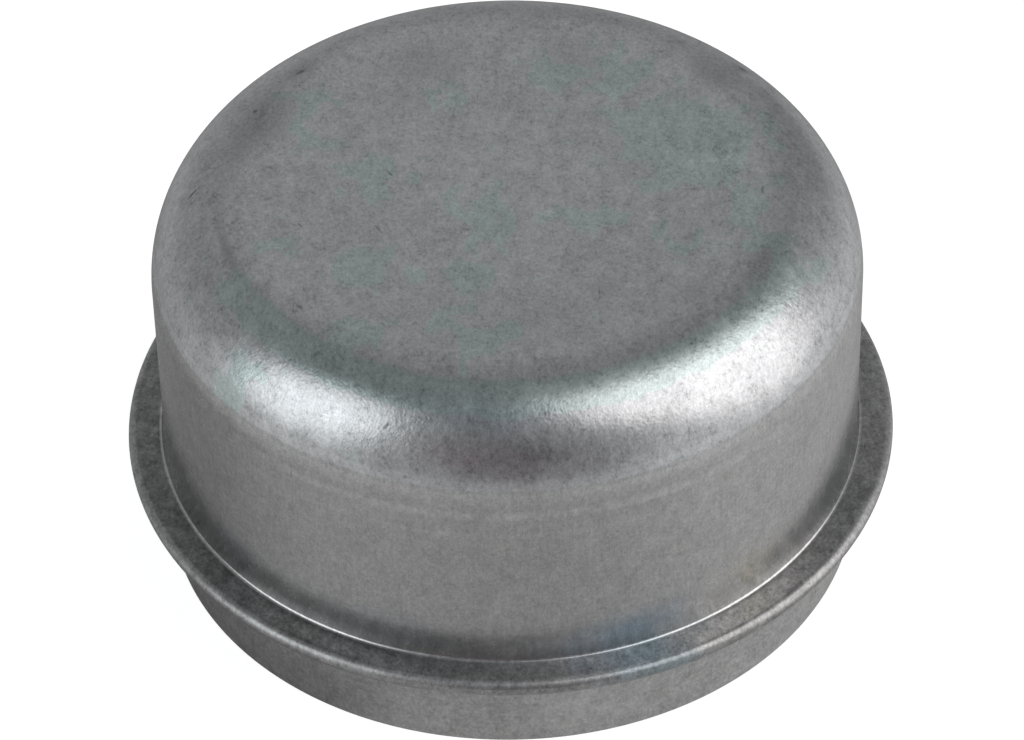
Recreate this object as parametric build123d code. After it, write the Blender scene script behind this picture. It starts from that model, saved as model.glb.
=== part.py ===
from build123d import *
import math
import os

# Hub grease cap: one round cup drawn from a single steel sheet. A flat crown
# turns over a generous corner into a straight wall. Near the open end the wall
# is folded outwards on itself into a narrow double-thickness stop flange, and
# below the flange the sheet goes on as a plain skirt that is pressed into the
# hub's bore. The foot of the wall flares out a little before it turns sharply
# into the flange. The fold is pinched tighter at the wall and rounder at its
# edge, so the flange's top rises a little outwards; its underside is flat.
#
# Millimetres. +Z is the cap's axis, pointing from the open rim to the crown.
# The origin is on the axis, in the plane of the open rim.

# ---- driving dimensions ------------------------------------------------------
skirt_d = 55.5        # outside of the skirt, the diameter pressed into the hub
wall_d = 55.5         # outside of the cup above the flange
flange_d = 61.3       # outside of the folded flange
sheet_t = 0.60        # sheet thickness
fold_gap = 0.20       # slit left inside the fold, at its round edge
ledge_tilt = 2.5      # degrees that the flange's top rises from the wall outwards
skirt_len = 7.65      # open rim to the underside of the flange
body_h = 24.05        # highest part of the flange to the crown
corner_r = 8.3        # crown to wall, outside
flare_r = 3.5         # foot of the wall, outside, where it flares out
flare_turn = 16.5     # degrees that the foot turns outwards before the sharp bend
wall_bend_r = 0.27    # sharp bend from the flared foot to the flange, outside
skirt_bend_r = 0.40   # flange to skirt, outside (hollow corner)
rim_edge_r = 0.12     # broken edges of the cut rim

# ---- derived -----------------------------------------------------------------
flange_t = 2 * sheet_t + fold_gap    # thickness of the flange's round edge
r_wall = wall_d / 2
r_skirt = skirt_d / 2
r_flange = flange_d / 2
r_wall_in = r_wall - sheet_t
r_skirt_in = r_skirt - sheet_t
z_under = skirt_len                  # underside of the flange
z_ledge = skirt_len + flange_t       # highest part of the flange
z_mid = skirt_len + flange_t / 2     # middle of the fold's round edge
z_crown = z_ledge + body_h           # top of the cap
fold_r = flange_t / 2                # half-round outer edge of the flange
r_fold = r_flange - fold_r           # centre of the fold's round edge

# the flange's rising top: a line from the bend at the wall to the round edge
tilt_sin = math.sin(math.radians(ledge_tilt))
tilt_cos = math.cos(math.radians(ledge_tilt))
ledge_out = (r_fold - fold_r * tilt_sin, z_mid + fold_r * tilt_cos)
flare_sin = math.sin(math.radians(flare_turn))
flare_cos = math.cos(math.radians(flare_turn))
r_flare = r_wall + flare_r           # centre of the flared foot
r_bend = r_flare - (flare_r - wall_bend_r) * flare_cos     # centre of the sharp bend
ledge_in_r = r_bend + wall_bend_r * tilt_sin
ledge_in = (ledge_in_r, ledge_out[1] - (ledge_out[0] - ledge_in_r) * tilt_sin / tilt_cos)
z_bend = ledge_in[1] + wall_bend_r * tilt_cos
z_flare = z_bend + (flare_r - wall_bend_r) * flare_sin     # where the wall starts to flare


def bend(centre, radius, a0, a1):
    """Arc of the section about a centre, from angle a0 to a1 in degrees."""
    return CenterArc(centre, radius, a0, a1 - a0)


def under(point):
    """The point one sheet thickness below a point of the flange's rising top."""
    return (point[0] + sheet_t * tilt_sin, point[1] - sheet_t * tilt_cos)


# ---- section, on the XZ plane (local x = radius, local y = height) -----------
with BuildPart() as cap:
    with BuildSketch(Plane.XZ) as section:
        with BuildLine():
            # outside, from the middle of the crown down to the rim
            Line((0, z_crown), (r_wall - corner_r, z_crown))
            bend((r_wall - corner_r, z_crown - corner_r), corner_r, 90, 0)
            Line((r_wall, z_crown - corner_r), (r_wall, z_flare))
            bend((r_flare, z_flare), flare_r, 180, 180 + flare_turn)
            bend((r_bend, z_bend), wall_bend_r, 180 + flare_turn, 270 + ledge_tilt)
            Line(ledge_in, ledge_out)
            bend((r_fold, z_mid), fold_r, 90 + ledge_tilt, -90)
            Line((r_fold, z_under), (r_skirt + skirt_bend_r, z_under))
            bend((r_skirt + skirt_bend_r, z_under - skirt_bend_r), skirt_bend_r, 90, 180)
            Line((r_skirt, z_under - skirt_bend_r), (r_skirt, rim_edge_r))
            # cut edge of the sheet
            bend((r_skirt - rim_edge_r, rim_edge_r), rim_edge_r, 0, -90)
            Line((r_skirt - rim_edge_r, 0), (r_skirt_in + rim_edge_r, 0))
            bend((r_skirt_in + rim_edge_r, rim_edge_r), rim_edge_r, 270, 180)
            # inside, from the rim through the fold and up to the crown
            Line((r_skirt_in, rim_edge_r), (r_skirt_in, z_under - skirt_bend_r))
            bend((r_skirt + skirt_bend_r, z_under - skirt_bend_r),
                 skirt_bend_r + sheet_t, 180, 90)
            Line((r_skirt + skirt_bend_r, z_under + sheet_t), (r_fold, z_under + sheet_t))
            bend((r_fold, z_mid), fold_gap / 2, -90, 90 + ledge_tilt)
            Line(under(ledge_out), under(ledge_in))
            bend((r_bend, z_bend), wall_bend_r + sheet_t, 270 + ledge_tilt, 180 + flare_turn)
            bend((r_flare, z_flare), flare_r + sheet_t, 180 + flare_turn, 180)
            Line((r_wall_in, z_flare), (r_wall_in, z_crown - corner_r))
            bend((r_wall - corner_r, z_crown - corner_r), corner_r - sheet_t, 0, 90)
            Line((r_wall - corner_r, z_crown - sheet_t), (0, z_crown - sheet_t))
            Line((0, z_crown - sheet_t), (0, z_crown))
        make_face()
    revolve(axis=Axis.Z)

grease_cap = cap.part.solids()[0]

os.makedirs("parts", exist_ok=True)
export_step(grease_cap, "parts/grease_cap.step")

box = grease_cap.bounding_box()
print("solids", len(cap.part.solids()), "valid", grease_cap.is_valid)
print("volume mm3", round(grease_cap.volume, 1))
print("size mm", [round(v, 3) for v in (box.size.X, box.size.Y, box.size.Z)])
print("lowest", round(box.min.Z, 4), "highest", round(box.max.Z, 4))
print("flange top at the wall", round(ledge_in[1], 3), "slit at the wall",
      round(under(ledge_in)[1] - z_under - sheet_t, 3))
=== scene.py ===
import math

import bpy
from mathutils import Matrix, Vector


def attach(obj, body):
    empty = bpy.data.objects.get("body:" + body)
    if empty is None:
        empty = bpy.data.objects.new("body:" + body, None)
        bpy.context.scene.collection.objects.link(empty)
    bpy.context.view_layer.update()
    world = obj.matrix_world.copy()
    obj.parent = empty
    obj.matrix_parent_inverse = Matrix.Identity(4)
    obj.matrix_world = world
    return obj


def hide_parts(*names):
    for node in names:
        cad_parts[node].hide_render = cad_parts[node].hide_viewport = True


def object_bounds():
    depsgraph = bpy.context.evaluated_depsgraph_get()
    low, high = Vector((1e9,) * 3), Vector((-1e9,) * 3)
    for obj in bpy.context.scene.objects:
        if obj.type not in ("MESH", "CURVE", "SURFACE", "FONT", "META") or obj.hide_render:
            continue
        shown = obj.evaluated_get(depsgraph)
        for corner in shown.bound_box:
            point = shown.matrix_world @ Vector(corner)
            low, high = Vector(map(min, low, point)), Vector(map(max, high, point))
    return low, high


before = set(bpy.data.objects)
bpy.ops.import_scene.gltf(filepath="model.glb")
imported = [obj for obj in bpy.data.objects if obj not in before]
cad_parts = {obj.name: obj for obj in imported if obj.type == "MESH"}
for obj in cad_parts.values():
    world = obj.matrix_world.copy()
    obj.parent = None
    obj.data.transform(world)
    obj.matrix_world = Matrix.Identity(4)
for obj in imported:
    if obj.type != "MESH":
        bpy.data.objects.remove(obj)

cad_low, cad_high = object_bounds()
cad_low, cad_high = cad_low.copy(), cad_high.copy()

scene = bpy.context.scene
scene.view_settings.view_transform = "Standard"
scene.view_settings.look = "None"
scene.view_settings.exposure = 0.0
scene.view_settings.gamma = 1.0

# ------------------------------------------------------------------------------
# The cap's dimensions in millimetres, the same as the construction's.
# ------------------------------------------------------------------------------
WALL_R = 27.75
SKIRT_R = 27.75
FLANGE_R = 30.638                   # a hair inside the faceted edge of the construction
SHEET = 0.60
GAP = 0.20
SKIRT_LEN = 7.65
BODY_H = 24.05
CORNER_R = 8.3
WALL_BEND = 0.27
FLARE_R = 3.5                       # foot of the wall, before the tight bend
FLARE_TURN = 16.5                   # degrees
SKIRT_BEND = 0.40
RIM_EDGE = 0.12
LEDGE_TILT = 2.5                    # degrees

FOLD_R = (2 * SHEET + GAP) / 2
Z_UNDER = SKIRT_LEN
Z_LEDGE = SKIRT_LEN + 2 * SHEET + GAP
Z_MID = Z_UNDER + FOLD_R
Z_CROWN = Z_LEDGE + BODY_H
R_FOLD = FLANGE_R - FOLD_R
R_FLAT = WALL_R - CORNER_R
Z_TURN = Z_CROWN - CORNER_R
TILT = math.radians(LEDGE_TILT)
LEDGE_OUT = (R_FOLD - FOLD_R * math.sin(TILT), Z_MID + FOLD_R * math.cos(TILT))
FLARE = math.radians(FLARE_TURN)
R_BEND = WALL_R + FLARE_R - (FLARE_R - WALL_BEND) * math.cos(FLARE)     # middle of the tight bend
Z_BEND = (LEDGE_OUT[1] - math.tan(TILT) * (LEDGE_OUT[0] - R_BEND - WALL_BEND * math.sin(TILT))
          + WALL_BEND * math.cos(TILT))
Z_FLARE = Z_BEND + (FLARE_R - WALL_BEND) * math.sin(FLARE)
LEDGE_IN = (R_BEND + WALL_BEND * math.sin(TILT), Z_BEND - WALL_BEND * math.cos(TILT))


# ------------------------------------------------------------------------------
# Camera: the photograph's long lens, 43 degrees above the floor.
# ------------------------------------------------------------------------------
def make_camera():
    focal = 5000.0                      # pixels, on a frame 1024 wide
    elevation, roll = 0.7457, -0.022
    aim = Vector((0, 0, 13.3205)) * 0.001
    back = Vector((0, -math.cos(elevation), math.sin(elevation)))
    right, up = Vector((1, 0, 0)), Vector((0, math.sin(elevation), math.cos(elevation)))
    right, up = (math.cos(roll) * right + math.sin(roll) * up,
                 math.cos(roll) * up - math.sin(roll) * right)
    # the middle of the frame lies a little to the right of the axis
    forward = (-back + right * ((512 - 509.52) / focal) + up * (0.5 / focal)).normalized()
    right = (right - forward * right.dot(forward)).normalized()
    up = right.cross(forward)
    data = bpy.data.cameras.new("camera")
    data.sensor_fit = "HORIZONTAL"
    data.sensor_width = 36.0
    data.lens = focal / 1024 * 36.0
    data.clip_start, data.clip_end = 0.01, 200.0
    data.dof.use_dof = False
    cam = bpy.data.objects.new("camera", data)
    place = Matrix((right, up, -forward)).transposed().to_4x4()
    place.translation = aim + back * 0.39814
    cam.matrix_world = place
    scene.collection.objects.link(cam)
    scene.camera = cam


make_camera()


# ------------------------------------------------------------------------------
# The cap's mesh: one turned sheet section, with the outside and the inside.
# ------------------------------------------------------------------------------
def line(a, b, n):
    return [(a[0] + (b[0] - a[0]) * i / n, a[1] + (b[1] - a[1]) * i / n) for i in range(n + 1)]


def arc(centre, radius, a0, a1, n):
    return [(centre[0] + radius * math.cos(math.radians(a0 + (a1 - a0) * i / n)),
             centre[1] + radius * math.sin(math.radians(a0 + (a1 - a0) * i / n)))
            for i in range(n + 1)]


def join(*runs):
    out = list(runs[0])
    for run in runs[1:]:
        out += run[1:]
    return out


def outer_run():
    """Outside of the sheet, from near the axis at the crown down to the rim's edge."""
    return join(
        line((0.6, Z_CROWN), (R_FLAT, Z_CROWN), 16),
        arc((R_FLAT, Z_TURN), CORNER_R, 90, 0, 44),
        line((WALL_R, Z_TURN), (WALL_R, Z_FLARE), 16),
        arc((WALL_R + FLARE_R, Z_FLARE), FLARE_R, 180, 180 + FLARE_TURN, 8),
        arc((R_BEND, Z_BEND), WALL_BEND, 180 + FLARE_TURN, 270 + LEDGE_TILT, 12),
        line(LEDGE_IN, LEDGE_OUT, 5),
        arc((R_FOLD, Z_MID), FOLD_R, 90 + LEDGE_TILT, -90, 20),
        line((R_FOLD, Z_UNDER), (SKIRT_R + SKIRT_BEND, Z_UNDER), 4),
        arc((SKIRT_R + SKIRT_BEND, Z_UNDER - SKIRT_BEND), SKIRT_BEND, 90, 180, 8),
        line((SKIRT_R, Z_UNDER - SKIRT_BEND), (SKIRT_R, RIM_EDGE), 8),
        arc((SKIRT_R - RIM_EDGE, RIM_EDGE), RIM_EDGE, 0, -90, 4),
    )


def inner_run():
    """The rim's cut face and the inside of the sheet, up to near the axis."""
    return join(
        line((SKIRT_R - RIM_EDGE, 0), (SKIRT_R - SHEET + RIM_EDGE, 0), 2),
        arc((SKIRT_R - SHEET + RIM_EDGE, RIM_EDGE), RIM_EDGE, 270, 180, 3),
        line((SKIRT_R - SHEET, RIM_EDGE), (SKIRT_R - SHEET, Z_UNDER - SKIRT_BEND), 5),
        arc((SKIRT_R + SKIRT_BEND, Z_UNDER - SKIRT_BEND), SKIRT_BEND + SHEET, 180, 90, 8),
        line((SKIRT_R + SKIRT_BEND, Z_UNDER + SHEET), (R_FOLD, Z_UNDER + SHEET), 2),
        arc((R_FOLD, Z_MID), GAP / 2, -90, 90 + LEDGE_TILT, 4),
        line((LEDGE_OUT[0] + SHEET * math.sin(TILT), LEDGE_OUT[1] - SHEET * math.cos(TILT)),
             (LEDGE_IN[0] + SHEET * math.sin(TILT), LEDGE_IN[1] - SHEET * math.cos(TILT)), 2),
        arc((R_BEND, Z_BEND), WALL_BEND + SHEET, 270 + LEDGE_TILT, 180 + FLARE_TURN, 8),
        arc((WALL_R + FLARE_R, Z_FLARE), FLARE_R + SHEET, 180 + FLARE_TURN, 180, 4),
        line((WALL_R - SHEET, Z_FLARE), (WALL_R - SHEET, Z_TURN), 8),
        arc((R_FLAT, Z_TURN), CORNER_R - SHEET, 0, 90, 20),
        line((R_FLAT, Z_CROWN - SHEET), (0.6, Z_CROWN - SHEET), 6),
    )


SIDES = 384


def make_cap():
    outer, inner = outer_run(), inner_run()
    section = outer + inner[1:]
    split = len(outer) - 1                      # rows before this are outside
    points, faces, inside = [], [], []
    for r, z in section:
        for i in range(SIDES):
            a = 2 * math.pi * i / SIDES
            points.append((r * math.cos(a) * 0.001, r * math.sin(a) * 0.001, z * 0.001))
    for j in range(len(section) - 1):
        for i in range(SIDES):
            k = (i + 1) % SIDES
            faces.append((j * SIDES + i, (j + 1) * SIDES + i, (j + 1) * SIDES + k, j * SIDES + k))
            inside.append(j >= split)
    top, bottom = len(points), len(points) + 1
    points.append((0, 0, Z_CROWN * 0.001))
    points.append((0, 0, (Z_CROWN - SHEET) * 0.001))
    last = (len(section) - 1) * SIDES
    for i in range(SIDES):
        k = (i + 1) % SIDES
        faces.append((top, i, k))
        inside.append(False)
        faces.append((bottom, last + k, last + i))
        inside.append(True)
    mesh = bpy.data.meshes.new("pressed_cap")
    mesh.from_pydata(points, [], faces)
    mesh.polygons.foreach_set("use_smooth", [True] * len(faces))
    mesh.polygons.foreach_set("material_index", [int(v) for v in inside])
    mesh.update()
    cap = bpy.data.objects.new("pressed_cap", mesh)
    scene.collection.objects.link(cap)
    return cap


# ------------------------------------------------------------------------------
# Node helpers
# ------------------------------------------------------------------------------
class Net:
    def __init__(self, tree):
        self.tree = tree
        tree.nodes.clear()

    def node(self, kind, **settings):
        n = self.tree.nodes.new(kind)
        for key, value in settings.items():
            setattr(n, key, value)
        return n

    def put(self, socket, value):
        if isinstance(value, bpy.types.NodeSocket):
            self.tree.links.new(value, socket)
        elif value is not None:
            socket.default_value = value

    def math(self, op, a, b=None, c=None, clamp=False):
        n = self.node("ShaderNodeMath", operation=op, use_clamp=clamp)
        for socket, value in zip(n.inputs, (a, b, c)):
            self.put(socket, value)
        return n.outputs[0]

    def add(self, a, b):
        return self.math("ADD", a, b)

    def sub(self, a, b):
        return self.math("SUBTRACT", a, b)

    def mul(self, a, b):
        return self.math("MULTIPLY", a, b)

    def vec(self, op, a, b=None, scale=None):
        n = self.node("ShaderNodeVectorMath", operation=op)
        self.put(n.inputs[0], a)
        if b is not None:
            self.put(n.inputs[1], b)
        if scale is not None:
            self.put(n.inputs["Scale"], scale)
        return n.outputs["Value"] if op in ("DOT_PRODUCT", "LENGTH", "DISTANCE") else n.outputs["Vector"]

    def xyz(self, v):
        n = self.node("ShaderNodeSeparateXYZ")
        self.put(n.inputs[0], v)
        return n.outputs

    def pack(self, x, y, z):
        n = self.node("ShaderNodeCombineXYZ")
        for socket, value in zip(n.inputs, (x, y, z)):
            self.put(socket, value)
        return n.outputs[0]

    def ramp(self, value, low, high, to_low=0.0, to_high=1.0, smooth=True):
        n = self.node("ShaderNodeMapRange", interpolation_type="SMOOTHSTEP" if smooth else "LINEAR",
                      clamp=True)
        for name, v in (("Value", value), ("From Min", low), ("From Max", high),
                        ("To Min", to_low), ("To Max", to_high)):
            self.put(n.inputs[name], v)
        return n.outputs["Result"]

    def band(self, value, a, b, soft):
        """1 between a and b, falling to 0 over soft on each side."""
        return self.mul(self.ramp(value, a - soft, a), self.ramp(value, b, b + soft, 1.0, 0.0))

    def noise(self, v, scale, detail=2.0, rough=0.5, distort=0.0, dims="3D"):
        n = self.node("ShaderNodeTexNoise", noise_dimensions=dims)
        self.put(n.inputs["Vector"], v)
        n.inputs["Scale"].default_value = scale
        n.inputs["Detail"].default_value = detail
        n.inputs["Roughness"].default_value = rough
        n.inputs["Distortion"].default_value = distort
        return n.outputs["Fac"]

    def voronoi(self, v, scale, dims="3D", rand=1.0):
        n = self.node("ShaderNodeTexVoronoi", voronoi_dimensions=dims, feature="F1")
        self.put(n.inputs["Vector"], v)
        n.inputs["Scale"].default_value = scale
        n.inputs["Randomness"].default_value = rand
        return n.outputs

    def spot(self, v, x, y, long, wide, angle=0.0, core=0.3):
        """1 in the middle of an oval mark at x, y, falling to 0 at its edge; v is x, y and a plain 1."""
        c, s = math.cos(math.radians(angle)), math.sin(math.radians(angle))
        along = self.vec("DOT_PRODUCT", v, (c / long, s / long, -(c * x + s * y) / long))
        across = self.vec("DOT_PRODUCT", v, (-s / wide, c / wide, (s * x - c * y) / wide))
        far = self.math("SQRT", self.math("MULTIPLY_ADD", along, along, self.mul(across, across)))
        return self.ramp(far, core, 1.0, 1.0, 0.0)

    def mix(self, fac, a, b):
        n = self.node("ShaderNodeMix", data_type="RGBA", blend_type="MIX", clamp_factor=True)
        self.put(n.inputs["Factor"], fac)
        self.put(n.inputs[6], a if isinstance(a, bpy.types.NodeSocket) else (*a, 1.0))
        self.put(n.inputs[7], b if isinstance(b, bpy.types.NodeSocket) else (*b, 1.0))
        return n.outputs[2]

    def tint(self, colour, value):
        """Colour times a number."""
        n = self.node("ShaderNodeVectorMath", operation="SCALE")
        self.put(n.inputs[0], colour)
        self.put(n.inputs["Scale"], value)
        return n.outputs["Vector"]


# ------------------------------------------------------------------------------
# Finish of the sheet
# ------------------------------------------------------------------------------
# Marks on the crown and the corner, seen from above: x, y, half length, half width in
# millimetres, direction of the length in degrees.
FILM = [                                            # greenish conversion film
    (14.0, 4.5, 8.8, 8.4, 0), (9.5, 13.5, 5.6, 3.2, 90), (4.0, 13.0, 3.6, 3.0, 60),
    (18.5, -4.5, 6.6, 3.0, 90), (20.5, -9.5, 4.6, 3.4, 60), (-1.5, -4.5, 6.2, 2.4, 100),
    (-2.8, -11.0, 3.8, 3.2, 0), (-2.5, -18.0, 7.0, 2.2, 95), (-10.5, 1.0, 4.2, 3.2, 90),
    (-10.8, -9.5, 4.2, 2.6, 90), (-11.0, -17.0, 2.8, 2.4, 0), (-15.0, 8.0, 5.6, 1.6, 90),
    (-5.0, 10.5, 2.2, 2.0, 0), (-18.0, -7.0, 2.0, 1.7, 0), (6.3, -4.5, 2.3, 1.9, 90),
    (14.0, -7.5, 3.0, 2.8, 0), (-21.3, -16.8, 3.2, 1.9, -38),
]
SMUDGES = [                                         # rubbed-in dirt, last number is its strength
    (-18.9, 8.2, 6.6, 3.0, 66, 0.36), (-16.0, 14.3, 2.8, 1.5, 48, 0.26), (16.6, 12.6, 4.0, 2.4, -52, 0.20),
    (18.8, 14.7, 1.6, 0.9, -45, 0.30), (-6.5, 14.5, 5.0, 4.6, 0, 0.10), (5.5, 14.5, 4.2, 3.4, 0, 0.10),
    (7.0, -12.5, 1.7, 1.5, 0, 0.14), (14.0, -13.0, 2.8, 2.0, 40, 0.16), (19.3, -9.6, 3.2, 0.9, 63, 0.30),
    (12.0, -7.5, 4.4, 3.6, 0, 0.03), (-21.0, 3.0, 5.0, 1.8, 80, 0.12), (0.0, 21.0, 11.0, 3.0, 0, 0.08),
    (-0.5, -16.0, 19.0, 6.0, 0, 0.06), (17.0, 2.5, 4.0, 4.0, 0, -0.07), (7.5, -6.2, 4.0, 3.0, 0, -0.06),
    (-6.4, -7.7, 3.0, 3.0, 0, -0.06), (-21.1, -7.3, 3.8, 0.65, -74, 0.20),
]
NICKS = [                                           # short scratches and pits
    (-15.7, -4.6, 0.50, 0.10, -58, 0.30), (-8.9, 1.3, 0.50, 0.10, -58, 0.36), (-9.7, -5.3, 0.70, 0.09, -58, 0.30),
    (-15.6, -13.8, 0.35, 0.16, -50, 0.30), (-24.2, 1.15, 0.55, 0.15, 40, 0.50), (-16.0, 14.1, 0.55, 0.28, 35, 0.40),
    (-19.5, 9.5, 0.30, 0.22, 60, 0.36), (19.7, -1.6, 0.60, 0.16, 85, 0.28), (19.0, 14.6, 0.55, 0.20, -50, 0.36),
    (-9.2, -24.05, 0.34, 0.15, 20, 0.42),
]


# lighter and darker patches on the skirt, painted highlight and painted shade
SKIRT_PAINTED_LIGHT = [                                          # on the skirt rolled out flat, lighter or darker
    (5.5, 2.6, 6.5, 5.0, 0, 0.20), (19.0, 3.0, 12.0, 5.0, 0, -0.06),
]
STAINS = [                                          # faint colours low on the side, with their hue
    (20.3, 11.4, 3.6, 2.6, -15, (0.640, 0.620, 0.540)), (8.9, 10.4, 7.0, 2.8, 4, (0.535, 0.608, 0.680)),
    (32.6, 11.8, 5.5, 3.4, 0, (0.572, 0.614, 0.616)), (-10.0, 11.2, 6.0, 2.2, 0, (0.588, 0.612, 0.640)),
    (-24.0, 11.4, 4.5, 2.2, 0, (0.605, 0.610, 0.655)), (10.2, 8.7, 5.0, 1.6, 0, (0.515, 0.612, 0.650)),
]


def plated_outside():
    mat = bpy.data.materials.new("satin_zinc_outside")
    mat.use_nodes = True
    g = Net(mat.node_tree)
    mm = g.vec("SCALE", g.node("ShaderNodeTexCoord").outputs["Object"], scale=1000.0)
    x, y, z = g.xyz(mm)[0:3]
    radius = g.vec("LENGTH", g.pack(x, y, 0.0))
    azimuth = g.mul(g.math("ARCTAN2", x, g.mul(y, -1.0)), 180.0 / math.pi)      # 0 in front, 90 right
    # 0 on the crown, 90 on the wall, in degrees over the rounded corner
    turn = g.mul(g.math("ARCTAN2", g.math("MAXIMUM", g.sub(radius, R_FLAT), 0.0),
                        g.math("MAXIMUM", g.sub(z, Z_TURN), 0.0)), 180.0 / math.pi)
    # position round the cap at the wall's radius, and the way down its side, in millimetres
    ring = g.vec("SCALE", g.pack(x, y, 0.0), scale=g.math("DIVIDE", WALL_R, g.math("MAXIMUM", radius, 1.0)))
    way = g.add(g.mul(turn, CORNER_R * math.pi / 180.0), g.math("MAXIMUM", g.sub(Z_TURN, z), 0.0))
    run = g.mul(azimuth, WALL_R * math.pi / 180.0)
    side = g.pack(run, z, 0.0)                     # the wall rolled out flat
    on_side, on_top = g.pack(run, z, 1.0), g.pack(x, y, 1.0)                    # the same for placed marks

    drawn = g.ramp(z, 26.2, 26.7)                  # crown and corner, above the ironed wall
    corner = g.mul(g.ramp(turn, 12.0, 35.0), drawn)
    flange = g.mul(g.ramp(radius, WALL_R + 0.24, WALL_R + 0.48), g.ramp(z, 9.5, 9.3))
    bead = g.ramp(radius, R_FOLD, R_FOLD + 0.30)
    skirt = g.ramp(z, 7.4, 7.7, 1.0, 0.0)
    wall = g.mul(g.sub(1.0, flange), g.sub(g.sub(1.0, drawn), skirt))
    off_wall = g.sub(1.0, wall)

    # grain of the zinc, about equally strong at every size
    seen = g.vec("MULTIPLY", mm, (1.0, 0.74, 0.78))
    low = g.sub(g.noise(seen, 0.45, 0.0), 0.5)
    coarse = g.sub(g.noise(g.vec("ADD", seen, (3.0, 7.0, 11.0)), 0.9, 2.0, 1.0), 0.5)
    fine = g.sub(g.noise(g.vec("ADD", seen, (31.0, 17.0, 5.0)), 3.6, 2.0, 1.15), 0.5)
    dots = g.voronoi(seen, 0.9)
    speck = g.mul(g.ramp(dots["Distance"], 0.05, 0.13, 1.0, 0.0), g.ramp(g.xyz(dots["Color"])[1], 0.5, 0.6))
    # the wall's grain is drawn out downwards
    down = g.vec("ADD", ring, g.pack(0.0, 0.0, g.mul(way, 0.10)))
    streak = g.sub(g.noise(down, 3.4, 2.0, 0.9), 0.5)
    # the skirt's runs round it
    round_it = g.sub(g.noise(g.vec("MULTIPLY", side, (0.12, 2.2, 1.0)), 1.0, 2.0, 0.8), 0.5)

    # film: faint greenish patches on crown and corner
    patch = None
    ragged = g.pack(g.add(x, g.mul(low, 9.0)), g.add(y, g.mul(coarse, 5.0)), 1.0)
    for mark in FILM:
        m = g.spot(ragged, *mark, core=0.2)
        patch = m if patch is None else g.math("MAXIMUM", patch, m)
    away = g.math("ABSOLUTE", azimuth)
    patch = g.math("MAXIMUM", patch, g.mul(g.band(turn, 22.0, 34.0, 7.0), g.ramp(away, 50.0, 80.0, 1.0, 0.0)))
    broken = g.sub(g.noise(mm, 0.55, 2.0, 0.72), 0.5)
    film = g.mul(g.ramp(g.add(patch, g.mul(broken, 1.9)), 0.17, 0.68), drawn)
    metal = g.mix(drawn, (0.616, 0.616, 0.614), (0.597, 0.606, 0.617))
    colour = g.mix(film, metal, (0.548, 0.625, 0.614))
    ragged = g.pack(g.add(run, g.mul(low, 6.0)), g.add(z, g.mul(coarse, 1.6)), 1.0)
    for *mark, hue in STAINS:
        colour = g.mix(g.mul(g.spot(ragged, *mark, core=0.1), 0.8), colour, hue)

    # rubbed-in dirt
    mottled = g.math("MAXIMUM", g.add(0.75, g.add(g.mul(coarse, 2.6), g.mul(low, 1.0))), 0.0)
    dirt = None
    for *mark, strength in SMUDGES:
        m = g.mul(g.spot(on_top, *mark, core=0.1), strength)
        dirt = m if dirt is None else g.add(dirt, m)
    groove = g.mul(g.band(turn, 18.6, 20.6, 3.0), g.ramp(away, 70.0, 110.0, 1.0, 0.0))     # where the crown turns
    dirt = g.mul(g.add(dirt, g.mul(groove, 0.10)), mottled)
    nick = None
    for *mark, strength in NICKS:
        m = g.mul(g.spot(on_top, *mark, core=0.45), strength * 1.3)
        nick = m if nick is None else g.math("MAXIMUM", nick, m)
    nick = g.math("MAXIMUM", nick, g.mul(g.spot(on_side, -17.7, 23.9, 0.55, 0.13, 90), 0.30))
    nick = g.math("MAXIMUM", nick, g.mul(g.spot(on_side, -8.1, 27.1, 0.26, 0.22), 0.36))
    shine = g.mul(g.spot(on_side, 2.06, 22.9, 1.5, 0.10, 90), 0.14)

    # witness marks of the drawing ring, round the top of the wall; below them, painted light at the edge of the
    # ironed wall and on the wall itself
    dotted = g.ramp(g.noise(g.vec("MULTIPLY", side, (1.0, 0.5, 1.0)), 1.3, 1.0, 0.7), 0.40, 0.62)
    rings = g.add(g.mul(g.band(z, 24.0, 24.25, 0.5), 0.15), g.mul(g.band(z, 22.05, 22.2, 0.3), 0.07))
    rings = g.mul(rings, g.mul(g.add(0.35, dotted), g.ramp(away, 25.0, 60.0, 1.0, 0.25)))
    # a lighter band above the ironed wall and a dark line below it: partly the finish line, partly painted highlight
    # and painted shade for the bend there
    step_and_sheen = g.sub(g.mul(g.band(z, 26.75, 27.15, 0.35), 0.11), g.mul(g.band(z, 26.3, 26.5, 0.22), 0.05))
    # the wall painted lighter towards its top: painted sheen
    step_and_sheen = g.add(step_and_sheen, g.mul(g.ramp(z, 16.0, 25.0, 0.0, 0.045), wall))

    # lighter and darker patches on the skirt: painted highlight and painted shade
    skirt_painted_light = None
    for *mark, strength in SKIRT_PAINTED_LIGHT:
        m = g.mul(g.spot(on_side, *mark, core=0.1), strength)
        skirt_painted_light = m if skirt_painted_light is None else g.add(skirt_painted_light, m)
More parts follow.
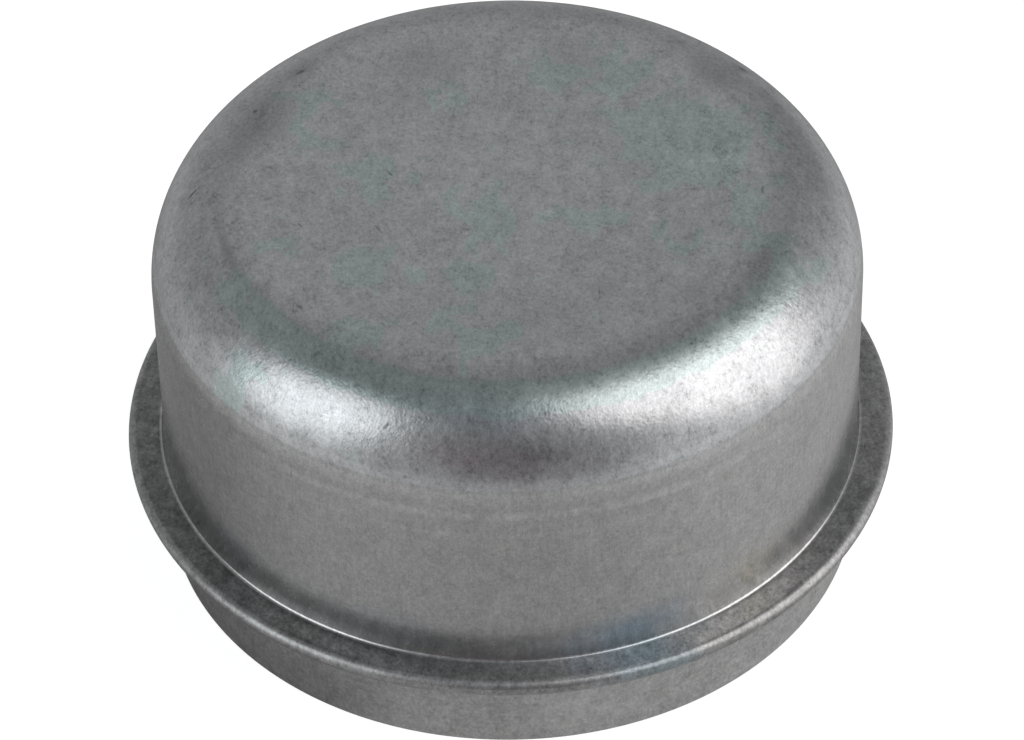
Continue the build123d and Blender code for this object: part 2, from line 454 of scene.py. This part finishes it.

    # darker flange, partly old grease and partly painted shade, most of it on the left and beside the wall there; its
    # bead is rubbed bright, partly wear and partly painted highlight
    dull = g.add(g.ramp(azimuth, -30.0, 30.0, 0.42, 0.54), g.mul(coarse, 0.48))
    dull = g.add(dull, g.ramp(away, 62.0, 95.0, 0.0, 0.05))
    inner = g.ramp(radius, 28.2, 29.9, 1.0, 0.0)
    # lighter and darker patches round the flange: painted light and painted shade
    for middle, width, more, beside in ((-30.0, 18.0, -0.07, -0.04), (-1.0, 23.0, 0.17, 0.0),
                                        (22.0, 12.0, -0.06, 0.0), (42.0, 16.0, 0.07, 0.0)):
        apart = g.math("ABSOLUTE", g.sub(azimuth, middle))
        dull = g.add(dull, g.mul(g.ramp(apart, 0.0, width, 1.0, 0.0), g.math("MULTIPLY_ADD", inner, beside, more)))
    # the bead lighter low down and at its top, darker on the left: partly rubbed wear, partly painted highlight and
    # painted shade
    bead_wear_and_shade = g.sub(g.ramp(z, 8.2, 8.45, 0.80, 0.70), g.mul(g.ramp(azimuth, -70.0, -10.0, 1.0, 0.0), 0.05))
    bead_wear_and_shade = g.add(bead_wear_and_shade, g.ramp(z, 8.6, 8.95, 0.0, 0.05))
    # darker patches on the bead either side of the front: painted shade
    for middle, width, more in ((-40.0, 24.0, -0.09), (39.0, 24.0, -0.13)):
        bead_wear_and_shade = g.add(bead_wear_and_shade, g.ramp(g.math("ABSOLUTE", g.sub(azimuth, middle)), 0.0, width, more, 0.0))
    dull = g.add(g.mul(dull, g.sub(1.0, bead)), g.mul(bead, g.add(bead_wear_and_shade, g.mul(coarse, 0.2))))
    shade = g.add(1.0, g.mul(flange, g.sub(dull, 1.0)))

    tone = g.add(1.0, g.add(g.mul(low, g.add(0.10, g.mul(off_wall, 0.10))),
                            g.mul(coarse, g.add(0.42, g.mul(off_wall, 0.28)))))
    tone = g.add(tone, g.mul(fine, g.add(g.sub(1.06, g.mul(wall, 0.16)), g.mul(flange, 0.45))))
    flecks = g.mul(g.ramp(fine, -0.13, -0.03, 1.0, 0.0), g.ramp(coarse, -0.14, 0.0, 1.0, 0.0))
    tone = g.sub(tone, g.mul(flecks, g.mul(drawn, 0.11)))
    tone = g.add(tone, g.mul(streak, g.add(g.mul(wall, 0.30), g.mul(corner, 0.10))))
    tone = g.add(tone, g.mul(round_it, g.mul(skirt, 0.30)))
    tone = g.add(tone, g.add(g.add(rings, step_and_sheen), g.add(shine, g.mul(skirt_painted_light, skirt))))
    tone = g.sub(tone, g.mul(speck, g.add(g.add(0.06, g.mul(off_wall, 0.12)), g.mul(flange, 0.20))))
    # the middle of the crown painted a little lighter: painted sheen
    crown = g.spot(on_top, 1.0, 0.5, 22.0, 11.0, 0, core=0.0)
    tone = g.add(tone, g.mul(crown, 0.05))
    tone = g.mul(g.mul(tone, shade), g.mul(g.sub(1.0, dirt), g.sub(1.0, nick)))
    colour = g.tint(colour, tone)

    rough = g.add(g.add(0.30, g.mul(coarse, 0.10)), g.mul(wall, -0.04))
    rough = g.add(rough, g.mul(g.band(turn, 62.0, 78.0, 10.0), g.mul(drawn, 0.05)))
    rough = g.add(rough, g.sub(g.mul(flange, 0.15), g.mul(bead, 0.05)))
    rough = g.add(rough, g.mul(dirt, 0.3))

    grained = g.vec("MULTIPLY", mm, (1.0, 1.0, 0.7))
    rounded = g.mul(g.ramp(z, 32.95, 31.7), g.ramp(z, 26.2, 26.7))
    bump = g.node("ShaderNodeBump")
    bump.inputs["Strength"].default_value = 1.0
    bump.inputs["Distance"].default_value = 1.5e-5
    g.put(bump.inputs["Height"], g.mul(g.noise(grained, 2.8, 1.0, 0.9), rounded))

    shader = g.node("ShaderNodeBsdfPrincipled")
    shader.inputs["Metallic"].default_value = 1.0
    shader.inputs["Specular Tint"].default_value = (0.85, 0.85, 0.85, 1.0)
    g.put(shader.inputs["Base Color"], colour)
    g.put(shader.inputs["Roughness"], rough)
    g.put(shader.inputs["Normal"], bump.outputs[0])
    out = g.node("ShaderNodeOutputMaterial")
    g.put(out.inputs["Surface"], shader.outputs[0])
    return mat


def plated_inside():
    mat = bpy.data.materials.new("dull_zinc_inside")
    mat.use_nodes = True
    g = Net(mat.node_tree)
    mm = g.vec("SCALE", g.node("ShaderNodeTexCoord").outputs["Object"], scale=1000.0)
    broad = g.noise(mm, 0.15, 3.0, 0.55, 0.4)
    fine = g.noise(mm, 4.0, 2.0, 0.6)
    down = g.noise(g.vec("MULTIPLY", mm, (1.0, 1.0, 0.02)), 2.5, 3.0, 0.6)
    patch = g.ramp(broad, 0.42, 0.62)
    colour = g.mix(patch, (0.50, 0.505, 0.51), (0.46, 0.49, 0.475))
    colour = g.tint(colour, g.add(1.0, g.add(g.mul(g.sub(fine, 0.5), 0.4), g.mul(g.sub(down, 0.5), 0.3))))
    bump = g.node("ShaderNodeBump")
    bump.inputs["Strength"].default_value = 1.0
    bump.inputs["Distance"].default_value = 6.0e-6
    g.put(bump.inputs["Height"], g.add(fine, g.mul(down, 0.6)))
    shader = g.node("ShaderNodeBsdfPrincipled")
    shader.inputs["Metallic"].default_value = 1.0
    g.put(shader.inputs["Base Color"], colour)
    g.put(shader.inputs["Roughness"], g.add(0.40, g.mul(g.sub(broad, 0.5), 0.15)))
    g.put(shader.inputs["Normal"], bump.outputs[0])
    out = g.node("ShaderNodeOutputMaterial")
    g.put(out.inputs["Surface"], shader.outputs[0])
    return mat


cap = make_cap()
cap.data.materials.append(plated_outside())
cap.data.materials.append(plated_inside())
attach(cap, "root")
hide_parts("grease_cap")


# ------------------------------------------------------------------------------
# Stage: pale floor, pale backdrop, soft light
# ------------------------------------------------------------------------------
def disc(name, radius, z, n=96):
    mesh = bpy.data.meshes.new(name)
    mesh.from_pydata([(radius * math.cos(2 * math.pi * i / n), radius * math.sin(2 * math.pi * i / n), z)
                      for i in range(n)], [], [tuple(range(n))])
    obj = bpy.data.objects.new(name, mesh)
    scene.collection.objects.link(obj)
    return obj


def pale(name, diffuse, glow):
    mat = bpy.data.materials.new(name)
    mat.use_nodes = True
    g = Net(mat.node_tree)
    shader = g.node("ShaderNodeBsdfPrincipled")
    shader.inputs["Base Color"].default_value = (diffuse, diffuse, diffuse, 1)
    shader.inputs["Roughness"].default_value = 0.9
    shader.inputs["Specular IOR Level"].default_value = 0.0
    shader.inputs["Emission Color"].default_value = (1, 1, 1, 1)
    shader.inputs["Emission Strength"].default_value = glow
    out = g.node("ShaderNodeOutputMaterial")
    g.put(out.inputs["Surface"], shader.outputs[0])
    return mat


floor = disc("floor", 2.5, -0.00002)
floor.data.materials.append(pale("pale_floor", 0.5, 0.86))
floor.visible_glossy = False

mesh = bpy.data.meshes.new("backdrop")
n = 96
ring = [(2.45 * math.cos(2 * math.pi * i / n), 2.45 * math.sin(2 * math.pi * i / n)) for i in range(n)]
mesh.from_pydata([(a, b, -0.01) for a, b in ring] + [(a, b, 2.5) for a, b in ring], [],
                 [(i, (i + 1) % n, n + (i + 1) % n, n + i) for i in range(n)])
backdrop = bpy.data.objects.new("backdrop", mesh)
scene.collection.objects.link(backdrop)
backdrop.data.materials.append(pale("pale_backdrop", 0.0, 1.0))
for flag in ("visible_diffuse", "visible_glossy", "visible_transmission", "visible_volume_scatter", "visible_shadow"):
    setattr(backdrop, flag, False)


def soft_shadow():
    """The table in the cap's shadow, left of it; only reflections see it."""
    obj = disc("table_shadow", 0.060, -0.00001)
    mat = bpy.data.materials.new("table_shadow")
    mat.use_nodes = True
    g = Net(mat.node_tree)
    mm = g.vec("SCALE", g.node("ShaderNodeTexCoord").outputs["Object"], scale=1000.0)
    x, y, z = g.xyz(mm)[0:3]
    azimuth = g.mul(g.math("ARCTAN2", x, g.mul(y, -1.0)), 180.0 / math.pi)
    near = g.ramp(g.vec("LENGTH", mm), 29.0, 40.0, 1.0, 0.0)
    dark = g.mul(g.mul(near, g.band(azimuth, -64.0, -38.0, 26.0)), 0.70)
    clear = g.node("ShaderNodeBsdfTransparent")
    glow = g.node("ShaderNodeEmission")
    glow.inputs["Color"].default_value = (0.10, 0.10, 0.10, 1.0)
    both = g.node("ShaderNodeMixShader")
    g.put(both.inputs[0], dark)
    g.put(both.inputs[1], clear.outputs[0])
    g.put(both.inputs[2], glow.outputs[0])
    out = g.node("ShaderNodeOutputMaterial")
    g.put(out.inputs["Surface"], both.outputs[0])
    obj.data.materials.append(mat)
    for flag in ("visible_camera", "visible_diffuse", "visible_transmission", "visible_volume_scatter",
                 "visible_shadow"):
        setattr(obj, flag, False)


soft_shadow()


def toward(azimuth, elevation):
    """Unit vector; azimuth 0 is towards the camera's side (-Y), 90 is to the right (+X)."""
    a, e = math.radians(azimuth), math.radians(elevation)
    return Vector((math.sin(a) * math.cos(e), -math.cos(a) * math.cos(e), math.sin(e)))


# The studio: a grey room and a table, two soft lights and the dark side where the camera stands.
ROOM = (0.306, 0.310, 0.314)
TABLE = (0.158, 0.155, 0.150)                       # added below the horizon
TABLE_NEAR = (-0.126, -0.126, -0.126)               # and taken off again near the cap
LOBES = [
    # azimuth, elevation, half width in degrees, brightness
    (0, 90, 24, -0.083),                            # ceiling
    (4, 11, 20, -0.235),                            # camera's side
    (-18, 44, 17, -0.095),
    (0, 64, 14, -0.068),
    (-60, 68, 13, -0.068),
    (-90, 50, 14, -0.087),
    (-110, 35, 20, -0.049),
    (118, -18, 27, 0.149),                          # table lit by the right soft light
    (110, 0, 9, 0.224),
    (60, -10, 14, 0.114),
    (48, -8, 20, 0.093),
    (150, -37, 20, 0.085),
    (-86, -20, 24, 0.049),                          # table lit by the left soft light
    (-115, -45, 22, -0.134),                        # and the shaded table on the left
    (0, -35, 30, -0.033),
    (180, 43, 16, 0.105),                           # back of the room
    (148, 46, 20, -0.084),
    (124, 60, 9, -0.123),
    (150, 0, 14, -0.136),
    (180, -30, 15, -0.175),
    (166, -29, 10, -0.110),
    (80, 40, 9, 0.210),                             # unevenness of the right soft light
    (80, 10, 9, -0.114),
    (80, -45, 18, 0.073),
    (-155, -45, 20, -0.035),
]
TINTS = [
    # azimuth, elevation, half width in degrees, colour added
    (4, 8, 16, (0.021, 0.000, 0.006)),              # something brown behind the camera
    (-15.5, 16, 7, (0.010, -0.075, -0.060)),        # something red beside it
    (0, 62, 12, (-0.020, 0.004, 0.030)),            # cool edge of the lights
]
SOFTBOXES = [
    # corners as azimuth and elevation, brightness, softness of the edge in degrees
    ([(73.9, -8.3), (92.9, -14.8), (110.3, 40.0), (90.9, 63.0), (47.6, 74.6), (19.1, 67.5), (38.3, 33.7)],
     (1.370, 1.32, 1.310), 10.0),
    ([(-85.8, -1.2), (-56.3, -4.6), (-38.8, 28.2), (-46.1, 50.3), (-63.9, 51.8), (-82.0, 39.5)],
     (1.200, 1.255, 1.266), 10.0),
]


def make_world():
    world = bpy.data.worlds.new("soft_room")
    scene.world = world
    world.use_nodes = True
    world.cycles.sampling_method = "NONE"           # smooth and dim all round, nothing to aim at
    g = Net(world.node_tree)
    ray = g.vec("NORMALIZE", g.node("ShaderNodeTexCoord").outputs["Generated"])
    below = g.ramp(g.xyz(ray)[2], 0.05, -0.25)
    near = g.ramp(g.xyz(ray)[2], -0.35, -0.70)
    total = g.vec("ADD", g.pack(*ROOM), g.vec("SCALE", TABLE, scale=below))
    total = g.vec("ADD", total, g.vec("SCALE", TABLE_NEAR, scale=near))
    grey = None
    for azimuth, elevation, width, bright in LOBES:
        sharp = math.log(2) / (1 - math.cos(math.radians(width)))
        near = g.vec("DOT_PRODUCT", ray, tuple(toward(azimuth, elevation)))
        power = g.math("EXPONENT", g.math("MULTIPLY_ADD", near, sharp, -sharp))
        grey = g.mul(power, bright) if grey is None else g.math("MULTIPLY_ADD", power, bright, grey)
    total = g.vec("ADD", total, g.pack(grey, grey, grey))
    for azimuth, elevation, width, colour in TINTS:
        sharp = math.log(2) / (1 - math.cos(math.radians(width)))
        near = g.vec("DOT_PRODUCT", ray, tuple(toward(azimuth, elevation)))
        power = g.math("EXPONENT", g.math("MULTIPLY_ADD", near, sharp, -sharp))
        total = g.vec("ADD", total, g.vec("SCALE", colour, scale=power))
    for corners, colour, soft in SOFTBOXES:
        points = [toward(*c) for c in corners]
        middle = sum(points, Vector()).normalized()
        inside = None
        half = math.sin(math.radians(soft / 2))
        for i, a in enumerate(points):
            edge = a.cross(points[(i + 1) % len(points)]).normalized()
            if edge.dot(middle) < 0:
                edge = -edge
            part = g.ramp(g.vec("DOT_PRODUCT", ray, tuple(edge)), -half, half)
            inside = part if inside is None else g.mul(inside, part)
        total = g.vec("ADD", total, g.vec("SCALE", tuple(colour), scale=inside))
    total = g.vec("MAXIMUM", total, (0.02, 0.02, 0.02))
    back = g.node("ShaderNodeBackground")
    g.put(back.inputs["Color"], total)
    out = g.node("ShaderNodeOutputWorld")
    g.put(out.inputs["Surface"], back.outputs[0])


make_world()
